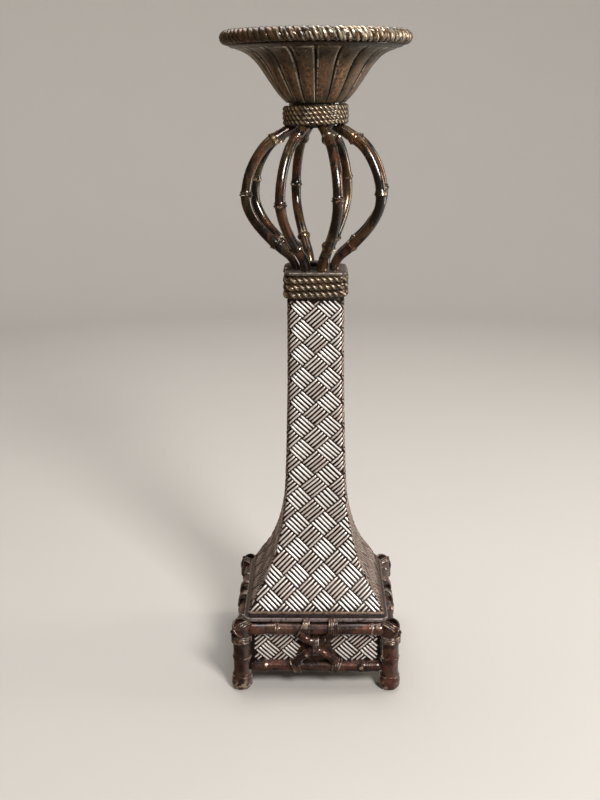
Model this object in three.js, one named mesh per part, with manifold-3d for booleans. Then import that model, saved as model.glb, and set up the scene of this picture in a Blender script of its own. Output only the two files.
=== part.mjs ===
// A tall candle stand in the bamboo style: a lobed bowl on a cage of eight bowed canes, a square
// column in a basket-woven sleeve that flares at its foot, and a plinth of bamboo posts and rails.
// Millimetres, +Z up, front towards -Y. The origin is on the ground, under the middle of the stand.

import * as THREE from 'three';
import { mergeVertices } from 'three/addons/utils/BufferGeometryUtils.js';
import Module from 'manifold-3d';

const wasm = await Module();
wasm.setup();

// ---------------------------------------------------------------- driving dimensions

const GAP = 0.3;                    // between pieces that rest on each other

// plinth
const POST_OFFSET = 72;             // post axes from the middle, along X and Y
const POST_RADIUS = 8.2;
const FOOT_RADIUS = 10;
const POST_TOP = 68.7;
const RAIL_OFFSET = 71.2;           // rail axes from the middle
const TOP_RAIL_Z = 62.3;
const TOP_RAIL_RADIUS = 5.4;
const LOW_RAIL_Z = 22.9;
const LOW_RAIL_RADIUS = 5.4;
const TOP_RAIL_KNUCKLES = [-38, 53]; // distances from the rail's middle
const LOW_RAIL_KNUCKLES = [-50, 44];
const KNUCKLE_RISE = 0.8;           // how far a bamboo knuckle stands out on rails and posts
const LASHING_BOTTOM = 50.5;        // corner lashings, under the top rails
const LASHING_TOP = 55.5;
const DECK_HALF = 70;               // the deck board lies on the posts and the filling
const DECK_ROUND = 8;
const DECK_TOP = 72.6;
const DECK_BOTTOM = 69;
const CORE_BOTTOM = 20;
const NECKED_HALF = 62.4;           // the filling's upper part, which clears rails and lashings
const SHOULDER_LOW = 48;            // it is chamfered in between these heights
const SHOULDER_HIGH = 51;

// column
const STEP_HALF = 65.6;
const STEP_TOP = 75.8;
const BINDING_HALF = 66.3;
const BINDING_TOP = 77.3;
const SLEEVE_WALL = 4;
const SLEEVE_TOP = 375.5;
const COLUMN_TOP = 398.4;

// cap and collar
const CAP_HALF = 29;
const CAP_TOP = 401.7;
const COLLAR_HALF = 30.3;
const COLLAR_ROPE = 7.5;            // rope thickness
const COLLAR_TURNS = 3;

// cage
const CANE_COUNT = 8;
const CANE_RADIUS = 4.7;
const CANE_TURN = 17;               // degrees from the front to the first cane
const CANE_KNUCKLE_RISE = 1.3;
const CANE_LOW_KNUCKLE = 425.5;     // heights
const CANE_HIGH_KNUCKLE = 520.5;
const CANE_MIDDLE_KNUCKLES = [470, 473.5, 476, 481, 474, 482, 472.5, 465];    // one for each cane

// neck and bowl
const HUB_BOTTOM = 529.6;
const NECK_TOP = 551.3;
const NECK_RADIUS = 29.9;
const NECK_ROPE = 5.2;
const NECK_TURNS = 4;
const LOBES = 18;
const LOBE_DEPTH = 0.045;           // groove depth as a part of the radius
const SEAT_Z = 580;                 // where the candle stands
const SEAT_RADIUS = 39.5;
const SEAT_SINK = 7;                // recess for the screw's head
const RIM_RADIUS = 79.3;
const RIM_Z = 606.1;
const RIM_ROPE_RADIUS = 6.2;

// fasteners
const ROD_RADIUS = 3;
const HOLE_RADIUS = 3.4;
const BORE_RADIUS = 3.7;
const SINK_Z = 34;                  // ceiling of the counterbore under the plinth
const SINK_BORE = 12;               // its radius
const SCREW_TIP = 536;              // lower end of the bowl's screw
const WASHER = 1.5;                 // washer thickness

// ---------------------------------------------------------------- finishes

const finish = (color, roughness, metalness) =>
  new THREE.MeshStandardMaterial({ color, roughness, metalness });
const BRONZE = finish(0x3a2019, 0.35, 0.5);
const BOWL_BRONZE = finish(0x4a3325, 0.4, 0.5);
const ROPE = finish(0x6b5138, 0.5, 0.5);
const WEAVE = finish(0xb9aaa2, 0.4, 0.5);
const DARK_BOARD = finish(0x37302e, 0.5, 0.3);
const GILT = finish(0x8a6a42, 0.5, 0.5);
const CORE = finish(0xa8a29a, 0.9, 0);
const STEEL = finish(0x8c8f93, 0.35, 0.9);

// ---------------------------------------------------------------- helpers

const model = new THREE.Group();

function add(name, geometry, material, parent = model) {
  const mesh = new THREE.Mesh(geometry, material);
  mesh.name = name;
  parent.add(mesh);
  return mesh;
}

// Makes a solid out of a closed geometry, for joining and cutting.
function solidOf(geometry) {
  const bare = geometry.clone();
  bare.deleteAttribute('normal');
  bare.deleteAttribute('uv');
  const merged = mergeVertices(bare, 1e-4);
  const mesh = new wasm.Mesh({
    numProp: 3,
    vertProperties: new Float32Array(merged.attributes.position.array),
    triVerts: new Uint32Array(merged.index.array),
  });
  mesh.merge();
  return new wasm.Manifold(mesh);
}

function geometryOf(solid) {
  const mesh = solid.getMesh();
  const geometry = new THREE.BufferGeometry();
  geometry.setAttribute('position', new THREE.BufferAttribute(mesh.vertProperties, 3));
  geometry.setIndex(new THREE.BufferAttribute(mesh.triVerts, 1));
  return geometry;
}

function cut(geometry, ...tools) {
  let solid = solidOf(geometry);
  for (const tool of tools) {
    solid = solid.subtract(solidOf(tool));
  }
  return geometryOf(solid);
}

// A body of revolution about +Z, from [radius, height] pairs.
function turned(profile, segments = 24) {
  const points = profile.map(([radius, height]) => new THREE.Vector2(radius, height));
  return new THREE.LatheGeometry(points, segments).rotateX(Math.PI / 2);
}

const disc = (radius, bottom, top, segments = 24) =>
  turned([[0, bottom], [radius, bottom], [radius, top], [0, top]], segments);

const ring = (inner, outer, bottom, top, segments = 24) =>
  turned([[inner, bottom], [outer, bottom], [outer, top], [inner, top], [inner, bottom]], segments);

// Like turned, but each height is a rounded square: rows are [half width, height, corner radius].
const CORNER_STEPS = 3;
function squareTurned(rows) {
  const sides = 4 * (CORNER_STEPS + 1);
  const profile = rows.map(([half, height]) => new THREE.Vector2(half, height));
  const geometry = new THREE.LatheGeometry(profile, sides);
  const position = geometry.attributes.position;
  for (let side = 0; side <= sides; side += 1) {
    const corner = Math.floor((side % sides) / (CORNER_STEPS + 1));
    const step = (side % sides) % (CORNER_STEPS + 1);
    const angle = (corner + step / CORNER_STEPS) * Math.PI / 2;
    const middle = (corner + 0.5) * Math.PI / 2;
    rows.forEach(([half, height, round], row) => {
      const centre = (half - round) * Math.SQRT2;
      const x = centre * Math.cos(middle) + round * Math.cos(angle);
      const y = centre * Math.sin(middle) + round * Math.sin(angle);
      position.setXYZ(side * rows.length + row, x, y, height);
    });
  }
  return geometry;
}

// A flat board with rounded corners and a round hole in its middle.
function board(half, round, bottom, top, bevel = 0.8) {
  const shape = new THREE.Shape();
  const inner = half - bevel;
  shape.moveTo(inner, -inner + round);
  for (const [x, y, start] of [[1, 1, 0], [-1, 1, 1], [-1, -1, 2], [1, -1, 3]]) {
    shape.absarc(x * (inner - round), y * (inner - round), round,
      start * Math.PI / 2, (start + 1) * Math.PI / 2, false);
  }
  const hole = new THREE.Path();
  hole.absarc(0, 0, BORE_RADIUS + bevel, 0, 2 * Math.PI, true);
  shape.holes.push(hole);
  const depth = top - bottom - 2 * bevel;
  return new THREE.ExtrudeGeometry(shape, {
    depth, bevelThickness: bevel, bevelSize: bevel, bevelSegments: 1, curveSegments: 4,
  }).translate(0, 0, bottom + bevel);
}

// A straight cane along +Z: [radius, distance] rows, with a raised ring at each knuckle and no
// stretch between rows longer than the given step.
function caneRows(length, radius, knuckles, rise, longest = length) {
  const rows = [[0, 0], [radius, 0]];
  const addRow = (r, at) => {
    const [, last] = rows[rows.length - 1];
    const pieces = Math.ceil((at - last) / longest);
    for (let i = 1; i < pieces; i += 1) {
      rows.push([radius, last + (at - last) * i / pieces]);
    }
    rows.push([r, at]);
  };
  for (const at of knuckles) {
    addRow(radius, at - 1.5 * rise);
    addRow(radius + rise, at - 0.5 * rise);
    addRow(radius + rise, at + 0.5 * rise);
    addRow(radius, at + 1.5 * rise);
  }
  addRow(radius, length);
  rows.push([0, length]);
  return rows;
}

// Bends a straight piece that runs along +Z so that it follows a curve in the XZ plane.
function bent(geometry, curve) {
  const length = curve.getLength();
  const position = geometry.attributes.position;
  for (let i = 0; i < position.count; i += 1) {
    const share = THREE.MathUtils.clamp(position.getZ(i) / length, 0, 1);
    const past = position.getZ(i) - share * length;
    const centre = curve.getPointAt(share);
    const tangent = curve.getTangentAt(share);
    const out = position.getX(i);
    position.setXYZ(i, centre.x + out * tangent.z + past * tangent.x, position.getY(i),
      centre.z - out * tangent.x + past * tangent.z);
  }
  return geometry;
}

const planeCurve = (points) =>
  new THREE.CatmullRomCurve3(points.map(([out, height]) => new THREE.Vector3(out, 0, height)));

// The share of a rising curve's length at which it passes a height.
function shareAtHeight(curve, height) {
  let low = 0;
  let high = 1;
  for (let i = 0; i < 30; i += 1) {
    const middle = (low + high) / 2;
    if (curve.getPointAt(middle).z < height) low = middle;
    else high = middle;
  }
  return low;
}

// ---------------------------------------------------------------- plinth

function postRows() {
  return [
    [0, 0], [6.2, 0], [FOOT_RADIUS - 0.9, 2.4], [FOOT_RADIUS, 6.5], [FOOT_RADIUS - 0.3, 12],
    [POST_RADIUS + 0.4, 14], [POST_RADIUS + 1.2, 14.8], [POST_RADIUS + 1.2, 15.8], [POST_RADIUS, 16.9],
    [POST_RADIUS, 31.8], [POST_RADIUS + KNUCKLE_RISE, 32.8], [POST_RADIUS + KNUCKLE_RISE, 33.8],
    [POST_RADIUS, 34.8], [POST_RADIUS, POST_TOP - 1.5], [POST_RADIUS - 1.5, POST_TOP], [0, POST_TOP],
  ];
}

const railLength = 2 * (POST_OFFSET - POST_RADIUS - GAP);

function rail(radius, knuckles, height) {
  const rows = caneRows(railLength, radius, knuckles.map((at) => at + railLength / 2), KNUCKLE_RISE);
  return turned(rows, 10).translate(0, 0, -railLength / 2).rotateY(Math.PI / 2)
    .translate(0, -RAIL_OFFSET, height);
}

const ARC_RADIUS = 3.8;
const ARC_OUT = 75;                 // arc centrelines from the middle of the stand
const LASHING_RISE = 1.3;           // room left between a rail and the arcs for the lashing
const TIE_THICKNESS = 1.1;
const TIE_WIDTH = 6;
const MIDDLE_Z = 45.8;              // where the two arcs of a side touch
const HANGING_ARC = { reach: 17, endZ: 56.3 };    // half its width, and the height of its ends
const RISING_ARC = { reach: 20, endZ: 30 };

// An arc's centreline is one spline; its two ends are coped round the lashed rail.
function arc({ reach, endZ }, towards, railZ, railRadius) {
  const near = MIDDLE_Z + towards * (ARC_RADIUS + GAP);
  const curve = planeCurve([[-reach, endZ], [-0.6 * reach, near + 0.38 * (endZ - near)], [0, near],
    [0.6 * reach, near + 0.38 * (endZ - near)], [reach, endZ]]);
  const length = curve.getLength();
  const tube = bent(turned(caneRows(length, ARC_RADIUS, [], 0, length / 8), 8), curve)
    .translate(0, -ARC_OUT, 0);
  const cope = disc(railRadius + LASHING_RISE + 2 * GAP, -3 * reach, 3 * reach, 20).rotateY(Math.PI / 2)
    .translate(0, -RAIL_OFFSET, railZ);
  return cut(tube, cope);
}

function arcTie() {
  const halfHeight = 2 * ARC_RADIUS + 4 * GAP + TIE_THICKNESS;
  const halfDepth = ARC_RADIUS + GAP + TIE_THICKNESS;
  const chamfer = 2;
  const outline = (height, depth, path) => {
    const flatHeight = height - chamfer;
    const flatDepth = depth - chamfer;
    const corners = [
      [-height, -flatDepth], [-flatHeight, -depth], [flatHeight, -depth], [height, -flatDepth],
      [height, flatDepth], [flatHeight, depth], [-flatHeight, depth], [-height, flatDepth],
    ];
    path.setFromPoints(corners.map(([x, y]) => new THREE.Vector2(x, y)));
    return path;
  };
  const shape = outline(halfHeight, halfDepth, new THREE.Shape());
  shape.holes.push(outline(halfHeight - TIE_THICKNESS, halfDepth - TIE_THICKNESS, new THREE.Path()));
  return new THREE.ExtrudeGeometry(shape, { depth: TIE_WIDTH, bevelEnabled: false })
    .translate(0, 0, -TIE_WIDTH / 2).rotateY(-Math.PI / 2).translate(0, -ARC_OUT, MIDDLE_Z);
}

const APRON_THICKNESS = 3.5;
const APRON_FACE = 69.3;
const APRON_HALF = 62.1;

function apron() {
  const bottom = LOW_RAIL_Z + LOW_RAIL_RADIUS + LASHING_RISE + GAP;
  const top = TOP_RAIL_Z - TOP_RAIL_RADIUS - LASHING_RISE - GAP;
  return new THREE.BoxGeometry(2 * APRON_HALF, APRON_THICKNESS, top - bottom)
    .translate(0, -APRON_FACE + APRON_THICKNESS / 2, (top + bottom) / 2);
}

function buildSide(side, turns) {
  const group = new THREE.Group();
  group.rotation.z = turns * Math.PI / 2;
  model.add(group);
  const post = add(`post_${turns + 1}`, turned(postRows(), 12), BRONZE, group);
  const cord = ring(POST_RADIUS + GAP, POST_RADIUS + 1.7, LASHING_BOTTOM, LASHING_TOP, 12);
  const lashing = add(`corner_lashing_${turns + 1}`, cord, ROPE, group);
  post.position.set(POST_OFFSET, -POST_OFFSET, 0);
  lashing.position.set(POST_OFFSET, -POST_OFFSET, 0);
  add(`top_rail_${side}`, rail(TOP_RAIL_RADIUS, TOP_RAIL_KNUCKLES, TOP_RAIL_Z), BRONZE, group);
  add(`low_rail_${side}`, rail(LOW_RAIL_RADIUS, LOW_RAIL_KNUCKLES, LOW_RAIL_Z), BRONZE, group);
  add(`apron_${side}`, apron(), WEAVE, group);
  add(`hanging_arc_${side}`, arc(HANGING_ARC, 1, TOP_RAIL_Z, TOP_RAIL_RADIUS), BRONZE, group);
  add(`rising_arc_${side}`, arc(RISING_ARC, -1, LOW_RAIL_Z, LOW_RAIL_RADIUS), BRONZE, group);
  add(`arc_tie_${side}`, arcTie(), ROPE, group);
}

function baseCore() {
  const coreHalf = APRON_FACE - APRON_THICKNESS - GAP;
  const lowHalf = RAIL_OFFSET - LOW_RAIL_RADIUS - LASHING_RISE - GAP;
  const lowTop = LOW_RAIL_Z + LOW_RAIL_RADIUS + LASHING_RISE;
  const top = DECK_BOTTOM - GAP;
  const block = squareTurned([[0, CORE_BOTTOM, 0], [lowHalf, CORE_BOTTOM, 4], [lowHalf, lowTop, 4],
    [coreHalf, lowTop + 1, 4], [coreHalf, SHOULDER_LOW, 4], [NECKED_HALF, SHOULDER_HIGH, 4],
    [NECKED_HALF, top, 4], [0, top, 0]]);
  return cut(block, disc(BORE_RADIUS, CORE_BOTTOM - 1, top + 1), disc(SINK_BORE, CORE_BOTTOM - 1, SINK_Z));
}

function buildPlinth() {
  ['front', 'right', 'back', 'left'].forEach(buildSide);
  add('base_core', baseCore(), CORE);
  add('deck_board', board(DECK_HALF, DECK_ROUND, DECK_BOTTOM, DECK_TOP), DARK_BOARD);
}

// ---------------------------------------------------------------- column

// [half width, height, corner radius] of the sleeve's outside, from its foot up
const SLEEVE = [
  [65.7, BINDING_TOP + GAP, 3], [58.2, 91.5, 3], [48.2, 109, 3.5], [40.2, 129.5, 4.5], [34.6, 152, 5.5],
  [31.2, 178, 6.5], [29.4, 211, 7.5], [28.1, 256, 8], [27.2, 300, 8], [26.8, SLEEVE_TOP, 8],
];

const inset = ([half, height, round], by) => [half - by, height, Math.max(round - by, 0.6)];

function sleeve() {
  const inside = SLEEVE.map((row) => inset(row, SLEEVE_WALL)).reverse();
  return squareTurned([...SLEEVE, ...inside, SLEEVE[0]]);
}

function columnCore() {
  const sides = SLEEVE.map((row) => inset(row, SLEEVE_WALL + GAP));
  const bottom = STEP_TOP + GAP;
  const [footHalf, , footRound] = sides[0];
  const [topHalf, , topRound] = sides[sides.length - 1];
  const block = squareTurned([[0, bottom, 0], [footHalf, bottom, footRound], ...sides,
    [topHalf, COLUMN_TOP, topRound], [0, COLUMN_TOP, 0]]);
  return cut(block, disc(BORE_RADIUS, bottom - 1, COLUMN_TOP + 1));
}

function footBinding() {
  const bottom = STEP_TOP + GAP;
  const inner = BINDING_HALF - SLEEVE_WALL;
  return squareTurned([[inner, bottom, 1], [BINDING_HALF, bottom, 3], [BINDING_HALF, bottom + 0.8, 3],
    [BINDING_HALF - 0.5, BINDING_TOP, 3], [inner, BINDING_TOP, 1], [inner, bottom, 1]]);
}

// Rope turns lying on each other, seen as one ring with a swelling for each turn: rows of
// [outside, height].
function ropeSwellings(outer, rope, turns, bottom) {
  const rows = [];
  for (let turn = 0; turn < turns; turn += 1) {
    const middle = bottom + (turn + 0.5) * rope;
    rows.push([outer - 0.2 * rope, middle - 0.36 * rope], [outer, middle - 0.1 * rope],
      [outer, middle + 0.1 * rope], [outer - 0.2 * rope, middle + 0.36 * rope]);
  }
  return rows;
}

function collarRope() {
  const bottom = COLUMN_TOP - COLLAR_TURNS * COLLAR_ROPE;
  const inner = COLLAR_HALF - COLLAR_ROPE;
  const outside = ropeSwellings(COLLAR_HALF, COLLAR_ROPE, COLLAR_TURNS, bottom);
  return squareTurned([[inner, bottom + 0.6, 4], ...outside.map(([half, height]) => [half, height, 9]),
    [inner, COLUMN_TOP - 0.6, 4], [inner, bottom + 0.6, 4]]);
}

function buildColumn() {
  add('step_board', board(STEP_HALF, 2.5, DECK_TOP + GAP, STEP_TOP), DARK_BOARD);
  add('foot_binding', footBinding(), GILT);
  add('column_core', columnCore(), CORE);
  add('woven_sleeve', sleeve(), WEAVE);
  add('collar_rope', collarRope(), ROPE);
  add('cap_plate', board(CAP_HALF, 7, COLUMN_TOP + GAP, CAP_TOP), DARK_BOARD);
}

// ---------------------------------------------------------------- cage

// A cane's centreline, as [distance from the middle, height]: upright on the cap plate, an S into
// the wide bow, and a shallow run in under the neck rope.
const CANE_LINE = planeCurve([
  [19.5, CAP_TOP + 2 * GAP], [19.6, 406], [24.5, 414], [34, 422], [51.5, 438.7], [63, 456], [65.8, 472],
  [61.2, 493], [48.5, 513], [31, 525], [19.5, 531],
]);

const caneAngle = (index) => THREE.MathUtils.degToRad(CANE_TURN + index * 360 / CANE_COUNT - 90);

function cane(middleKnuckle) {
  const length = CANE_LINE.getLength();
  const knuckles = [CANE_LOW_KNUCKLE, middleKnuckle, CANE_HIGH_KNUCKLE]
    .map((height) => length * shareAtHeight(CANE_LINE, height));
  return bent(turned(caneRows(length, CANE_RADIUS, knuckles, CANE_KNUCKLE_RISE, 12), 8), CANE_LINE);
}

// The room the canes take, with a gap all round, as cutting tools.
function caneSockets() {
  const sockets = [];
  for (let i = 0; i < CANE_COUNT; i += 1) {
    const rows = caneRows(CANE_LINE.getLength() + GAP, CANE_RADIUS + GAP, [], 0, 12);
    sockets.push(bent(turned(rows, 8), CANE_LINE).rotateZ(caneAngle(i)));
  }
  return sockets;
}

function neckHub() {
  const boss = turned([[0, HUB_BOTTOM], [21.5, HUB_BOTTOM], [24.3, HUB_BOTTOM + 2],
    [24.3, NECK_TOP], [0, NECK_TOP]], 32);
  return cut(boss, ...caneSockets(), disc(HOLE_RADIUS, SCREW_TIP - 1, NECK_TOP + 1));
}

function neckRope() {
  const inner = NECK_RADIUS - NECK_ROPE;
  const bottom = NECK_TOP - NECK_TURNS * NECK_ROPE;
  const outside = ropeSwellings(NECK_RADIUS, NECK_ROPE, NECK_TURNS, bottom);
  const band = turned([[inner, bottom + 2], ...outside, [inner, NECK_TOP - 0.4], [inner, bottom + 2]], 24);
  return cut(band, ...caneSockets());
}

function buildCage() {
  for (let i = 0; i < CANE_COUNT; i += 1) {
    const mesh = add(`cane_${i + 1}`, cane(CANE_MIDDLE_KNUCKLES[i]), BRONZE);
    mesh.rotation.z = caneAngle(i);
  }
  add('neck_hub', neckHub(), BRONZE);
  add('neck_rope', neckRope(), ROPE);
}

// ---------------------------------------------------------------- bowl

const BOWL_BOTTOM = NECK_TOP + GAP;
const SINK_BOTTOM = SEAT_Z - SEAT_SINK;
const LOBED_ROWS = [
  [26.6, BOWL_BOTTOM], [35.1, 560.2], [42.3, 570.2], [47.4, 577.7], [51.9, 583.9], [59.2, 591.7],
  [66.3, 595.9],
];
const LIP_ROWS = [
  [74.7, 597.4], [77.6, 599.5], [74.4, 601.2], [72.6, 604.5], [72.6, 609], [70.5, 610.2], [68.6, 608],
];
const DISH_ROWS = [[66.5, 602.5], [56, 596.5], [46.5, 589], [41.5, 583.5], [SEAT_RADIUS, SEAT_Z]];
const SINK_RADIUS = 11;

function bowl() {
  const rows = [[HOLE_RADIUS, BOWL_BOTTOM], ...LOBED_ROWS, ...LIP_ROWS, ...DISH_ROWS,
    [SINK_RADIUS, SEAT_Z], [SINK_RADIUS, SINK_BOTTOM], [HOLE_RADIUS, SINK_BOTTOM],
    [HOLE_RADIUS, BOWL_BOTTOM]];
  const sides = 2 * LOBES;
  const geometry = turned(rows, sides);
  const position = geometry.attributes.position;
  for (let side = 0; side <= sides; side += 2) {
    for (let row = 1; row <= LOBED_ROWS.length; row += 1) {
      const i = side * rows.length + row;
      position.setX(i, position.getX(i) * (1 - LOBE_DEPTH));
      position.setY(i, position.getY(i) * (1 - LOBE_DEPTH));
    }
  }
  return geometry;
}

function buildBowl() {
  add('bowl', bowl(), BOWL_BRONZE);
  const rim = new THREE.TorusGeometry(RIM_RADIUS, RIM_ROPE_RADIUS, 8, 2 * LOBES);
  add('rim_rope', rim.translate(0, 0, RIM_Z), ROPE);
}

// ---------------------------------------------------------------- fasteners

function buildFasteners() {
  const washer = (radius, bottom) => ring(HOLE_RADIUS, radius, bottom, bottom + WASHER, 16);

  add('bowl_washer', washer(9, SINK_BOTTOM + GAP), STEEL);
  const head = SINK_BOTTOM + WASHER + 2 * GAP;
  add('bowl_screw', turned([[0, SCREW_TIP], [ROD_RADIUS, SCREW_TIP], [ROD_RADIUS, head], [6, head],
    [6, head + 2.5], [4.2, head + 3.9], [0, head + 4.2]], 12), STEEL);

  add('cap_washer', washer(8, CAP_TOP + GAP), STEEL);
  const nut = CAP_TOP + WASHER + 2 * GAP;
  const threadTop = nut + 3.4;
  add('cap_nut', turned([[0, threadTop], [HOLE_RADIUS, threadTop], [HOLE_RADIUS, nut], [6, nut],
    [6, nut + 3.2], [4.6, nut + 4.4], [0, nut + 5]], 12), BRONZE);

  add('base_washer', washer(10, SINK_Z - WASHER - GAP), STEEL);
  const nutTop = SINK_Z - WASHER - 2 * GAP;
  add('base_nut', ring(HOLE_RADIUS / Math.cos(Math.PI / 6), 5.8, nutTop - 5, nutTop, 6), STEEL);
  add('tie_rod', disc(ROD_RADIUS, nutTop - 8, threadTop - GAP, 12), STEEL);
}

buildPlinth();
buildColumn();
buildCage();
buildBowl();
buildFasteners();

export default model;
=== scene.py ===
"""A tall candle stand in the bamboo style, dressed over its CAD frame.

Cast resin painted as antique bronze: a lobed bowl with a rope rim, a cage of bowed bamboo canes,
a square column in a silvered basket weave that flares at its foot, and a plinth of bamboo posts
and rails with woven aprons. Working units are millimetres; meshes are written in metres.
"""
import bisect
import math
import random

import bmesh
import bpy
from mathutils import Matrix, Vector, noise


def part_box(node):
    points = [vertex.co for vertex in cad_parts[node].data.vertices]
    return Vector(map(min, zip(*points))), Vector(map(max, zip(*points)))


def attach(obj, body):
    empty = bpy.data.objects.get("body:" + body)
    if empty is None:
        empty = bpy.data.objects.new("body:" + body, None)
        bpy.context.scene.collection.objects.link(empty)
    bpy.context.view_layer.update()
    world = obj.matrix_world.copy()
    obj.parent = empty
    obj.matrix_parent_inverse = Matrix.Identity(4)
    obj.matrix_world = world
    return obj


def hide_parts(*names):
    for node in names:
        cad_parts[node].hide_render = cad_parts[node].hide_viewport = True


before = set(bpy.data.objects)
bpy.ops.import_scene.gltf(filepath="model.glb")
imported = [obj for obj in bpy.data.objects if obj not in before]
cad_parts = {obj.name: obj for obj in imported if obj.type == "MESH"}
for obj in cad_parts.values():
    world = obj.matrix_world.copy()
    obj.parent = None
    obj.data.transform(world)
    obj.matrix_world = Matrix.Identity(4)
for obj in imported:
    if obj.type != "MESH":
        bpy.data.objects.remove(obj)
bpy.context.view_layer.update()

MM = 0.001
TAU = 2 * math.pi
UP = Vector((0, 0, 1))
RIGHT = Vector((1, 0, 0))
FRONT = -math.pi / 2
SIDES = ("front", "right", "back", "left")


# -------- small helpers

def node_box(name):
    """Lowest and highest corner of a CAD node, in millimetres."""
    low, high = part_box(name)
    return low / MM, high / MM


def mix(a, b, share):
    return a + (b - a) * share


def clamp(value, low=0.0, high=1.0):
    return min(max(value, low), high)


def smooth_step(value, start, end):
    """0 up to the start, rising to 1 at the end."""
    share = clamp((value - start) / (end - start))
    return share * share * (3 - 2 * share)


def smooth_fall(value, start, end):
    """1 up to the start, falling to 0 at the end."""
    return smooth_step(-value, -end, -start)


def outward(angle):
    return Vector((math.cos(angle), math.sin(angle), 0))


def level_turn(out):
    """The direction a quarter turn on from an outward one."""
    return Vector((-out.y, out.x, 0))


def quarter_turns(number):
    return Matrix.Rotation(number * math.pi / 2, 3, "Z")


def locate(values, value):
    """Where a value lies in a rising list: the gap's number, and the share of the way through it."""
    i = clamp(bisect.bisect_right(values, value) - 1, 0, len(values) - 2)
    return i, (value - values[i]) / (values[i + 1] - values[i])


def look_up(places, values, place):
    i, share = locate(places, place)
    return mix(values[i], values[i + 1], share)


def spline(points, samples):
    """Points along a Catmull-Rom curve through the given ones."""
    ends = [2 * points[0] - points[1]] + list(points) + [2 * points[-1] - points[-2]]
    made = []
    for i in range(len(points) - 1):
        a, b, c, d = ends[i:i + 4]
        for step in range(samples):
            t = step / samples
            made.append(0.5 * (2 * b + (c - a) * t + (2 * a - 5 * b + 4 * c - d) * t * t
                               + (3 * b - a - 3 * c + d) * t ** 3))
    made.append(points[-1].copy())
    return made


class Path:
    """A line through many points, read by distance along it."""

    def __init__(self, points):
        self.points = points
        self.at = [0.0]
        for a, b in zip(points, points[1:]):
            self.at.append(self.at[-1] + (b - a).length)
        self.length = self.at[-1]

    def point(self, distance):
        i, share = locate(self.at, distance)
        return self.points[i].lerp(self.points[i + 1], share)

    def tangent(self, distance, reach=0.6):
        ahead = self.point(min(distance + reach, self.length))
        return (ahead - self.point(max(distance - reach, 0.0))).normalized()

    def distance_at_height(self, height):
        return min(self.at, key=lambda d: abs(self.point(d).z - height))


def add_object(name, data):
    made = bpy.data.objects.new(name, data)
    bpy.context.scene.collection.objects.link(made)
    return made


class Build:
    """Collects closed skins for one piece. Each point carries its wear, 0 in a recess and 1 on a
    rubbed crest; a low wear also paints shade in recesses, and some pieces raise it to paint
    highlights. Each point also carries its tint, a random share that sets one strand apart from the
    next; on the weave a low tint also paints shade on one lean of strands and on the side faces."""

    def __init__(self):
        self.points = []
        self.faces = []
        self.wear_and_painted_light = []
        self.tint = []

    def skin(self, rings, tint=0.5, path_closed=False):
        """Joins rings of (point, wear), or (point, wear, tint) where the tint is the point's own.
        An open path is capped at both ends."""
        size = len(rings[0])
        first = len(self.points)
        for ring in rings:
            for point, wear_and_painted_light, *own in ring:
                self.points.append(point)
                self.wear_and_painted_light.append(wear_and_painted_light)
                self.tint.append(own[0] if own else tint)
        last = len(rings) if path_closed else len(rings) - 1
        for i in range(last):
            here = first + i * size
            there = first + (i + 1) % len(rings) * size
            for j in range(size):
                k = (j + 1) % size
                self.faces.append((here + j, here + k, there + k, there + j))
        if not path_closed:
            self.faces.append(tuple(first + j for j in reversed(range(size))))
            self.faces.append(tuple(first + (len(rings) - 1) * size + j for j in range(size)))

    def piece(self, name, material, slot, *nodes, turn=0.0, smooth_angle=50):
        """Writes the mesh as a piece that rides on the stand and stands for the CAD nodes."""
        mesh = bpy.data.meshes.new(name)
        spin = Matrix.Rotation(turn, 3, "Z")
        mesh.from_pydata([spin @ point * MM for point in self.points], [], self.faces)
        for label, values in (("wear_and_painted_light", self.wear_and_painted_light), ("tint", self.tint)):
            mesh.attributes.new(label, "FLOAT", "POINT").data.foreach_set("value", values)
        tidy = bmesh.new()
        tidy.from_mesh(mesh)
        bmesh.ops.recalc_face_normals(tidy, faces=tidy.faces)
        tidy.to_mesh(mesh)
        tidy.free()
        mesh.shade_smooth()
        mesh.set_sharp_from_angle(angle=math.radians(smooth_angle))
        mesh.materials.append(material)
        made = add_object(name, mesh)
        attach(made, "root")
        if nodes:
            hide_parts(*nodes)
        return made


# -------- materials

def graph(name):
    material = bpy.data.materials.new(name)
    material.use_nodes = True
    tree = material.node_tree
    tree.nodes.clear()
    shader = tree.nodes.new("ShaderNodeBsdfPrincipled")
    out = tree.nodes.new("ShaderNodeOutputMaterial")
    tree.links.new(shader.outputs[0], out.inputs[0])
    return material, tree, shader


EVEN = (1, 1, 1)


def noise_node(tree, scale, detail=4.0, roughness=0.55, stretch=EVEN):
    where = tree.nodes.new("ShaderNodeTexCoord")
    mapping = tree.nodes.new("ShaderNodeMapping")
    mapping.inputs["Scale"].default_value = stretch
    texture = tree.nodes.new("ShaderNodeTexNoise")
    texture.inputs["Scale"].default_value = scale
    texture.inputs["Detail"].default_value = detail
    texture.inputs["Roughness"].default_value = roughness
    tree.links.new(where.outputs["Object"], mapping.inputs["Vector"])
    tree.links.new(mapping.outputs[0], texture.inputs["Vector"])
    return texture.outputs["Fac"]


def span(tree, value, low, high, to_low=0.0, to_high=1.0):
    node = tree.nodes.new("ShaderNodeMapRange")
    node.interpolation_type = "SMOOTHSTEP"
    node.inputs["From Min"].default_value = low
    node.inputs["From Max"].default_value = high
    node.inputs["To Min"].default_value = to_low
    node.inputs["To Max"].default_value = to_high
    tree.links.new(value, node.inputs["Value"])
    return node.outputs["Result"]


def attribute(tree, label):
    node = tree.nodes.new("ShaderNodeAttribute")
    node.attribute_name = label
    return node.outputs["Fac"]


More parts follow.
